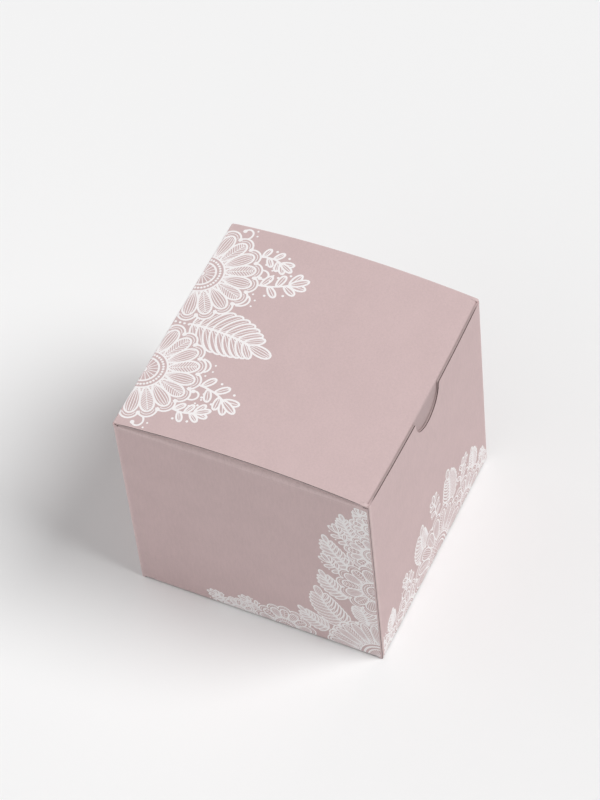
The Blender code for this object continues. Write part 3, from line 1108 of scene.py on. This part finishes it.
def printed_tone(finish, look, grain, fibres, clouds, relief):
    """The print's colour: mottled, darker with painted shade on a tuck flap, and lighter where it is
    rubbed, which also paints a highlight along folds and cut edges.
    """
    fine, long, soft = MOTTLING_SHARES
    mottling = finish.ramp(fine * grain + long * fibres + soft * clouds, *MOTTLING_RANGE)
    # Two copies of the print: as it is, and darkened with painted shade for the tuck flaps.
    tones = []
    for shade in (1, look.tuck_painted_shade):
        dark = tinted(look.print_colour, (1 - look.print_variation) * shade)
        light = tinted(look.print_colour, (1 + look.print_variation) * shade)
        tones.append(finish.mix(mottling, dark, light))
    tone = finish.mix(finish.fade("tucked"), *tones)
    # Lighter rubbed print along folds and cut edges, which also paints a highlight there.
    rub_and_highlight = finish.fade("rub_and_highlight")
    rubbed = rub_and_highlight * rub_and_highlight * finish.ramp(relief, *RUB_AND_HIGHLIGHT_RANGE) * look.edge_rub_and_highlight
    return finish.mix(rubbed, tone, (*look.rubbed_and_highlight_colour, 1))


def unprinted_tone(finish, colour, fibres, clouds):
    """The colour of bare card, a little uneven."""
    long, soft = UNPRINTED_SHARES
    share = finish.ramp(long * fibres + soft * clouds, *UNPRINTED_RANGE)
    dark, light = (tinted(colour, tone) for tone in UNPRINTED_TONES)
    return finish.mix(share, dark, light)


def card_finish(kind):
    """The material of the printed face, the plain face, a cut edge's outer line, which is a dark line
    of painted shade, or its rim, whose own colour is darkened with painted shade.
    """
    name = "card_" + kind
    if name in bpy.data.materials:
        return bpy.data.materials[name]
    look = bpy.context.scene.favor_box_looks
    finish = Finish(bpy.data.materials.new(name))
    place, grain = paper_grain(finish, look)
    stretched = finish.node(
        "ShaderNodeMapping", {"vector_type": "POINT"}, {"Vector": place, "Scale": FIBRE_STRETCH}
    )
    fibres = finish.noise(stretched, look.fibre_scale, detail=3.0, roughness=0.6)
    clouds = finish.noise(place, look.cloud_scale)
    fine, long = RELIEF_SHARES
    relief = fine * grain + long * fibres
    if kind == "printed":
        colour = printed_tone(finish, look, grain, fibres, clouds, relief)
    else:
        colours = {"plain": look.plain_colour, "cut": look.shade_line_colour, "rim": look.shaded_rim_colour}
        colour = unprinted_tone(finish, colours[kind], fibres, clouds)
    # Near folds a cut edge's painted shade gives way to the print's colour.
    if kind in ("cut", "rim"):
        colour = finish.mix(finish.fade("painted_shade_fade"), colour, (*look.print_colour, 1))
    bump = finish.node(
        "ShaderNodeBump",
        None,
        {"Strength": look.grain_strength, "Distance": look.grain_height, "Height": relief},
    )
    rough = look.card_roughness + (grain - NOISE_MIDDLE) * CARD_ROUGHNESS_SPREAD
    finish.feed("Principled BSDF", {"Base Color": colour, "Roughness": rough, "Normal": bump})
    finish.feed("Principled BSDF", {"Specular IOR Level": CARD_SPECULAR})
    return finish.owner


def ink_finish():
    """The material of the printed lace, made once."""
    name = "lace_ink"
    if name in bpy.data.materials:
        return bpy.data.materials[name]
    look = bpy.context.scene.favor_box_looks
    finish = Finish(bpy.data.materials.new(name))
    _, grain = paper_grain(finish, look)
    dark, light = (tinted(look.ink_colour, tone) for tone in INK_TONES)
    colour = finish.mix(finish.ramp(grain, *INK_RANGE), dark, light)
    rough = look.card_roughness - INK_SMOOTHER + (grain - NOISE_MIDDLE) * INK_ROUGHNESS_SPREAD
    finish.feed("Principled BSDF", {"Base Color": colour, "Roughness": rough})
    finish.feed("Principled BSDF", {"Specular IOR Level": CARD_SPECULAR})
    return finish.owner


# Properties that a user would change.


def colour_choice(name, description, default):
    """A property that holds a colour."""
    return FloatVectorProperty(
        name=name, description=description, default=default, subtype="COLOR", min=0, max=1
    )


def number_choice(name, description, default, digits=2, unit="NONE"):
    """A property that holds a number, at least 0."""
    return FloatProperty(
        name=name, description=description, default=default, min=0, precision=digits, unit=unit
    )


def share_choice(name, description, default, low=0):
    """A property that holds a share, at most 1."""
    return FloatProperty(
        name=name, description=description, default=default, subtype="FACTOR", min=low, max=1
    )


def angle_choice(name, description, degrees, low=-180, high=180):
    """A property that holds an angle, given in degrees here."""
    return FloatProperty(
        name=name,
        description=description,
        default=math.radians(degrees),
        min=math.radians(low),
        max=math.radians(high),
        subtype="ANGLE",
    )


class FavorBoxSizes(PropertyGroup):
    """Sizes of the folded card and of the print."""

    fold_radius: FloatProperty(
        name="Fold radius",
        description="Outer radius of a creased fold",
        default=0.0005,
        min=0.00046,
        max=0.0007,
        precision=5,
        unit="LENGTH",
    )
    lid_slope: angle_choice("Lid slope", "Angle at which the arched lid leaves its crease", 7.45, 1, 12)
    ink_height: number_choice(
        "Ink height", "How far the printed lace stands above the card", 0.00001, 6, "LENGTH"
    )
    outline_width: number_choice(
        "Outline width", "Width of the lace's main lines, in millimetres", 0.40
    )
    thread_width: number_choice(
        "Thread width", "Width of the lace's fine lines, in millimetres", 0.15
    )
    fine_print: share_choice(
        "Fine print", "Width of the walls' lines as a share of the lid's", 0.75, 0.3
    )
    petals: IntProperty(
        name="Fan petals",
        description="Petals of a large lace fan",
        default=7,
        min=3,
        max=13,
    )


class FavorBoxLooks(PropertyGroup):
    """Colours and paper grain of the card, the ink and the stage."""

    print_colour: colour_choice("Print colour", "Colour of the printed outside", (0.610, 0.464, 0.462))
    plain_colour: colour_choice("Plain colour", "Colour of the unprinted inside", (0.80, 0.77, 0.74))
    # A dark line of painted shade along the outside of each cut edge, for the shadow in the gaps.
    shade_line_colour: colour_choice(
        "Core colour", "Colour of the line along the outside of a cut edge", (0.105, 0.070, 0.066)
    )
    # The rest of a cut edge: its own colour, darkened with painted shade.
    shaded_rim_colour: colour_choice("Rim colour", "Colour of the rest of a cut edge", (0.47, 0.37, 0.365))
    # Painted shade on the tuck flaps: their print's colour times this share.
    tuck_painted_shade: share_choice(
        "Tucked shade", "Tone of the print on the tuck flaps as a share of the walls'", 0.78, 0.5
    )
    # Rubbed print, lighter, which also paints a highlight along folds and cut edges.
    rubbed_and_highlight_colour: colour_choice(
        "Rubbed colour", "Colour of the print where folds and edges are rubbed", (0.76, 0.61, 0.605)
    )
    ink_colour: colour_choice("Ink colour", "Colour of the printed lace", (0.93, 0.90, 0.90))
    floor_colour: colour_choice(
        "Floor colour", "Colour of the floor and of the backdrop", (0.896, 0.896, 0.896)
    )
    floor_bounce: share_choice(
        "Floor bounce", "Share of its colour with which the floor lights the box", 0.85
    )
    card_roughness: share_choice("Card roughness", "Roughness of the card's surface", 0.72)
    print_variation: share_choice(
        "Print variation", "Share by which the print gets darker and lighter", 0.045
    )
    # How strongly the rub, with its painted highlight, lightens folds and cut edges.
    edge_rub_and_highlight: share_choice("Edge wear", "How far the print is rubbed at folds and cut edges", 0.45)
    grain_scale: number_choice("Grain scale", "Paper grains across one metre", 4200)
    fibre_scale: number_choice("Fibre scale", "Paper fibres across one metre", 2300)
    cloud_scale: number_choice("Cloud scale", "Soft patches of the print across one metre", 160)
    grain_strength: share_choice("Grain strength", "Strength of the paper grain's relief", 0.35)
    grain_height: number_choice(
        "Grain height", "Height of the paper grain", 0.00003, 6, "LENGTH"
    )
    sky_light: number_choice(
        "Sky light", "Brightness that the soft light from all sides gives the floor", 0.37
    )
    sky_lean: FloatVectorProperty(
        name="Sky lean",
        description="How much brighter the soft light gets to the right, the back and the top",
        default=(-0.78, 1.25, -0.77),
        subtype="XYZ",
    )
    sun_light: number_choice("Sun light", "Brightness that the lamp gives the floor", 0.63)
    sun_azimuth: angle_choice(
        "Sun azimuth", "Direction that the lamp's light comes from, turned from front to right", 14
    )
    sun_elevation: angle_choice("Sun elevation", "Height of the lamp above the horizon", 52)
    sun_spread: angle_choice(
        "Sun spread", "Angle across which the lamp shines, which softens the shadow", 34, 0
    )


# Operators, one for each group of pieces.


class FAVORBOX_OT_sleeve(Operator):
    """Builds the four walls and the glue tab as one folded strip of card."""

    bl_idname = "favor_box.sleeve"
    bl_label = "Sleeve"

    def execute(self, context):
        sizes = context.scene.favor_box_sizes
        profile = plan_profile(sizes.fold_radius)
        closing = closing_profile(sizes.fold_radius, sizes.lid_slope)
        outline, seams = sleeve_outline(profile, closing, side_profile(sizes.fold_radius))
        start, end = profile.bends[0][1], profile.bends[1][0]
        low, high = FRONT_LOW.z, FRONT_HIGH.z
        lines = grid(start, end, BOW_STEPS, low - MM, high + MM)
        lines += turned(grid(low, high, BOW_STEPS, start, end))
        sleeve = card("sleeve_card", outline, profile, round_the_plan(profile), lines, seams)
        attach(sleeve, "sleeve")
        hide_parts(*frame["record"]["behaviour"]["bodies"]["sleeve"])
        return {"FINISHED"}


class FAVORBOX_OT_closures(Operator):
    """Builds the lid and the bottom panel, each with its crease and its tuck flap."""

    bl_idname = "favor_box.closures"
    bl_label = "Lid and bottom"

    def execute(self, context):
        sizes = context.scene.favor_box_sizes
        lid_halves = (HALF_WIDTH - LID_CREASE_SETBACK, LID_HALF_WIDTH, TUCK_FOLD_HALF)
        bottom_halves = (HALF_WIDTH - BOTTOM_CREASE_SETBACK, BOTTOM_HALF_WIDTH, BOTTOM_HALF_WIDTH)
        for name, prefix, level, up, slope, halves in (
            ("lid", "", TOP, 1, sizes.lid_slope, lid_halves),
            ("bottom", "bottom_", BOTTOM, -1, 0, bottom_halves),
        ):
            profile = closing_profile(sizes.fold_radius, slope)
            place = over_the_lid(profile, level, up)
            lines = turned(grid(-HALF_WIDTH, HALF_WIDTH, BOW_STEPS, 0, profile.length + MM))
            seams = [profile.bends[fold][0] - SEAM_LIP for fold in (BACK_FOLD, FRONT_FOLD)]
            outline = closing_outline(profile, *halves)
            panel = card(name + "_card", outline, profile, place, lines, seams)
            bend_between(panel, "sleeve", name, profile, place, BACK_FOLD)
            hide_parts(name + "_panel")
            outline = tuck_outline(profile, halves[-1])
            # The tuck flap's print gets painted shade past its fold.
            tuck = card(prefix + "tuck_card", outline, profile, place, lines, seams, tucked=True)
            bend_between(tuck, name, prefix + "tuck", profile, place, FRONT_FOLD)
            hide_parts(prefix + "tuck_flap")
        return {"FINISHED"}


class FAVORBOX_OT_dust_flaps(Operator):
    """Builds the four dust flaps, each with its crease on a side wall."""

    bl_idname = "favor_box.dust_flaps"
    bl_label = "Dust flaps"

    def execute(self, context):
        profile = side_profile(context.scene.favor_box_sizes.fold_radius)
        outline = dust_outline(profile)
        start = profile.bends[0][0]
        lines = grid(start, start + DUST_SPRING_REACH, ROUND_STEPS, -HALF_DEPTH, HALF_DEPTH)
        lines += turned(grid(-HALF_DEPTH, HALF_DEPTH, BOW_STEPS, 0, profile.length + MM))
        for prefix, level, up, lip in (("", WALL_HEAD, 1, 0), ("bottom_", WALL_FOOT, -1, SEAM_LIP)):
            for side_name, side in (("left", -1), ("right", 1)):
                body = prefix + side_name + "_dust"
                place = over_the_side(profile, side, level, up)
                flap = card(body + "_card", outline, profile, place, lines, [start - SEAM_LIP])
                bend_between(flap, "sleeve", body, profile, place, 0, lip)
                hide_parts(body + "_flap")
        return {"FINISHED"}


class FAVORBOX_OT_lace(Operator):
    """Prints the lace over the lid's crease, on the left wall and on the front wall."""

    bl_idname = "favor_box.lace"
    bl_label = "Printed lace"

    def execute(self, context):
        sizes = context.scene.favor_box_sizes
        self.print_hinge(sizes)
        self.print_side(sizes)
        self.print_front(sizes)
        return {"FINISHED"}

    def print_hinge(self, sizes):
        profile = closing_profile(sizes.fold_radius, sizes.lid_slope)
        place = over_the_lid(profile, TOP, 1)
        crease = sum(profile.bends[BACK_FOLD]) / 2
        half = LID_HALF_WIDTH - LACE_MARGIN
        low, high = complex(-half, -LACE_REACH), complex(half, LACE_REACH)
        stations = profile.stations(crease - LACE_REACH, crease + LACE_REACH) - crease
        lines = [(complex(-HALF_WIDTH, at), complex(HALF_WIDTH, at)) for at in stations]
        lines += grid(-HALF_WIDTH, HALF_WIDTH, BOW_STEPS, low.imag, high.imag)

        def to_sheet(points):
            return crease + points.imag + 1j * points.real

        lace = printed_sheet("hinge_lace", hinge_drawing, sizes, low, high, lines, to_sheet, place)
        bend_between(lace, "sleeve", "lid", profile, place, BACK_FOLD)

    def print_side(self, sizes):
        profile = side_profile(sizes.fold_radius)
        place = over_the_side(profile, -1, WALL_FOOT, -1)
        head = WALL_FOOT + FLAP_TOP - FLAP_BOTTOM
        low = complex(LACE_MARGIN, head - profile.bends[0][1])
        high = complex(2 * HALF_DEPTH - LACE_MARGIN, head)
        stations = head - profile.stations(0, profile.bends[0][1])
        lines = [(complex(low.real, at), complex(high.real, at)) for at in stations]

        def to_sheet(points):
            return head - points.imag + 1j * (points.real - HALF_DEPTH)

        lace = printed_sheet("side_lace", side_drawing, sizes, low, high, lines, to_sheet, place)
        bend_between(lace, "sleeve", "bottom_left_dust", profile, place, 0, SEAM_LIP)

    def print_front(self, sizes):
        profile = plan_profile(sizes.fold_radius)
        place = round_the_plan(profile)
        middle = front_middle(profile)
        start, end = profile.bends[0][1], profile.bends[1][0]
        low = complex(start - middle, FRONT_LOW.z + LACE_FOOT_MARGIN)
        high = complex(end - middle, FRONT_HIGH.z)
        lines = grid(low.real, high.real, BOW_STEPS, low.imag, high.imag)
        lines += turned(grid(FRONT_LOW.z, FRONT_HIGH.z, BOW_STEPS, low.real, high.real))

        def to_sheet(points):
            return middle + points

        lace = printed_sheet("front_lace", front_drawing, sizes, low, high, lines, to_sheet, place)
        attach(lace, "sleeve")


class FAVORBOX_OT_stage(Operator):
    """Sets up the floor, the light and the camera."""

    bl_idname = "favor_box.stage"
    bl_label = "Stage"

    def execute(self, context):
        scene = context.scene
        look = scene.favor_box_looks
        self.add_floor(scene, look)
        self.add_sky(scene, look)
        self.add_sun(scene, look)
        self.add_camera(scene)
        scene.view_settings.view_transform = "Standard"
        return {"FINISHED"}

    def add_floor(self, scene, look):
        data = bpy.data.meshes.new("floor")
        corners = [(-1, -1), (1, -1), (1, 1), (-1, 1)]
        vertices = [(x * FLOOR_HALF, y * FLOOR_HALF, BOTTOM - FLOOR_GAP) for x, y in corners]
        data.from_pydata(vertices, [], [(0, 1, 2, 3)])
        floor = bpy.data.objects.new("floor", data)
        scene.collection.objects.link(floor)
        finish = Finish(bpy.data.materials.new("floor_paper"))
        place = finish.node("ShaderNodeTexCoord", output="Object")
        clouds = finish.noise(place, look.cloud_scale * FLOOR_CLOUD_SHARE)
        dark, light = (tinted(look.floor_colour, tone) for tone in FLOOR_TONES)
        seen_colour = finish.mix(clouds, dark, light)
        lit_colour = tinted(look.floor_colour, look.floor_bounce)
        colour = finish.mix(finish.seen_directly(), lit_colour, seen_colour)
        finish.feed("Principled BSDF", {"Base Color": colour, "Roughness": FLOOR_ROUGHNESS})
        finish.feed("Principled BSDF", {"Specular IOR Level": 0.0})
        data.materials.append(finish.owner)

    def add_sky(self, scene, look):
        world = bpy.data.worlds.new("sky")
        scene.world = world
        finish = Finish(world)
        towards = finish.node("ShaderNodeTexCoord", output="Generated")
        lean = finish.node(
            "ShaderNodeVectorMath",
            {"operation": "DOT_PRODUCT"},
            {0: towards, 1: look.sky_lean},
            output="Value",
        )
        uneven = lean + (1 - look.sky_lean[2] * MEAN_HEIGHT_OF_LIGHT)
        light = finish.node("ShaderNodeMath", {"operation": "MAXIMUM"}, {0: uneven, 1: 0.0})
        seen_colour = (*look.floor_colour, 1)
        colour = finish.mix(finish.seen_directly(), light * look.sky_light, seen_colour)
        finish.feed("Background", {"Color": colour, "Strength": 1})

    def add_sun(self, scene, look):
        data = bpy.data.lights.new("sun", "SUN")
        data.energy = look.sun_light * math.pi / math.sin(look.sun_elevation)
        data.angle = look.sun_spread
        sun = bpy.data.objects.new("sun", data)
        towards = arrow_to(look.sun_azimuth, look.sun_elevation)
        sun.location = towards
        sun.rotation_euler = towards.to_track_quat("Z", "Y").to_euler()
        scene.collection.objects.link(sun)

    def add_camera(self, scene):
        azimuth = math.radians(CAMERA_AZIMUTH_DEG)
        back = arrow_to(azimuth, math.radians(CAMERA_ELEVATION_DEG))
        right = Vector((0, 0, 1)).cross(back).normalized()
        upright = Matrix((right, back.cross(right), back)).transposed()
        roll = Matrix.Rotation(math.radians(CAMERA_ROLL_DEG), 3, "Z")
        data = bpy.data.cameras.new("camera")
        data.lens = CAMERA_LENS_MM
        data.sensor_width = CAMERA_SENSOR_MM
        data.clip_start = CAMERA_NEAR
        data.clip_end = CAMERA_FAR
        camera = bpy.data.objects.new("camera", data)
        camera.matrix_world = Matrix.Translation(CAMERA_PLACE) @ (upright @ roll).to_4x4()
        scene.collection.objects.link(camera)
        scene.camera = camera


class FAVORBOX_PT_pieces(Panel):
    """Lists the settings and the pieces in the sidebar."""

    bl_label = "Favor Box"
    bl_space_type = "VIEW_3D"
    bl_region_type = "UI"
    bl_category = "Favor Box"

    def draw(self, context):
        layout = self.layout
        for group in (context.scene.favor_box_sizes, context.scene.favor_box_looks):
            for name in group.bl_rna.properties.keys():
                if name not in ("rna_type", "name"):
                    layout.prop(group, name)
        for operator in OPERATORS:
            layout.operator(operator.bl_idname)


OPERATORS = (
    FAVORBOX_OT_sleeve,
    FAVORBOX_OT_closures,
    FAVORBOX_OT_dust_flaps,
    FAVORBOX_OT_lace,
    FAVORBOX_OT_stage,
)
CLASSES = (FavorBoxSizes, FavorBoxLooks, *OPERATORS, FAVORBOX_PT_pieces)


def register():
    for item in CLASSES:
        bpy.utils.register_class(item)
    bpy.types.Scene.favor_box_sizes = PointerProperty(type=FavorBoxSizes)
    bpy.types.Scene.favor_box_looks = PointerProperty(type=FavorBoxLooks)


def unregister():
    del bpy.types.Scene.favor_box_looks
    del bpy.types.Scene.favor_box_sizes
    for item in reversed(CLASSES):
        bpy.utils.unregister_class(item)


def main():
    register()
    bpy.ops.favor_box.sleeve()
    bpy.ops.favor_box.closures()
    bpy.ops.favor_box.dust_flaps()
    bpy.ops.favor_box.lace()
    bpy.ops.favor_box.stage()


if __name__ == "__main__":
    main()
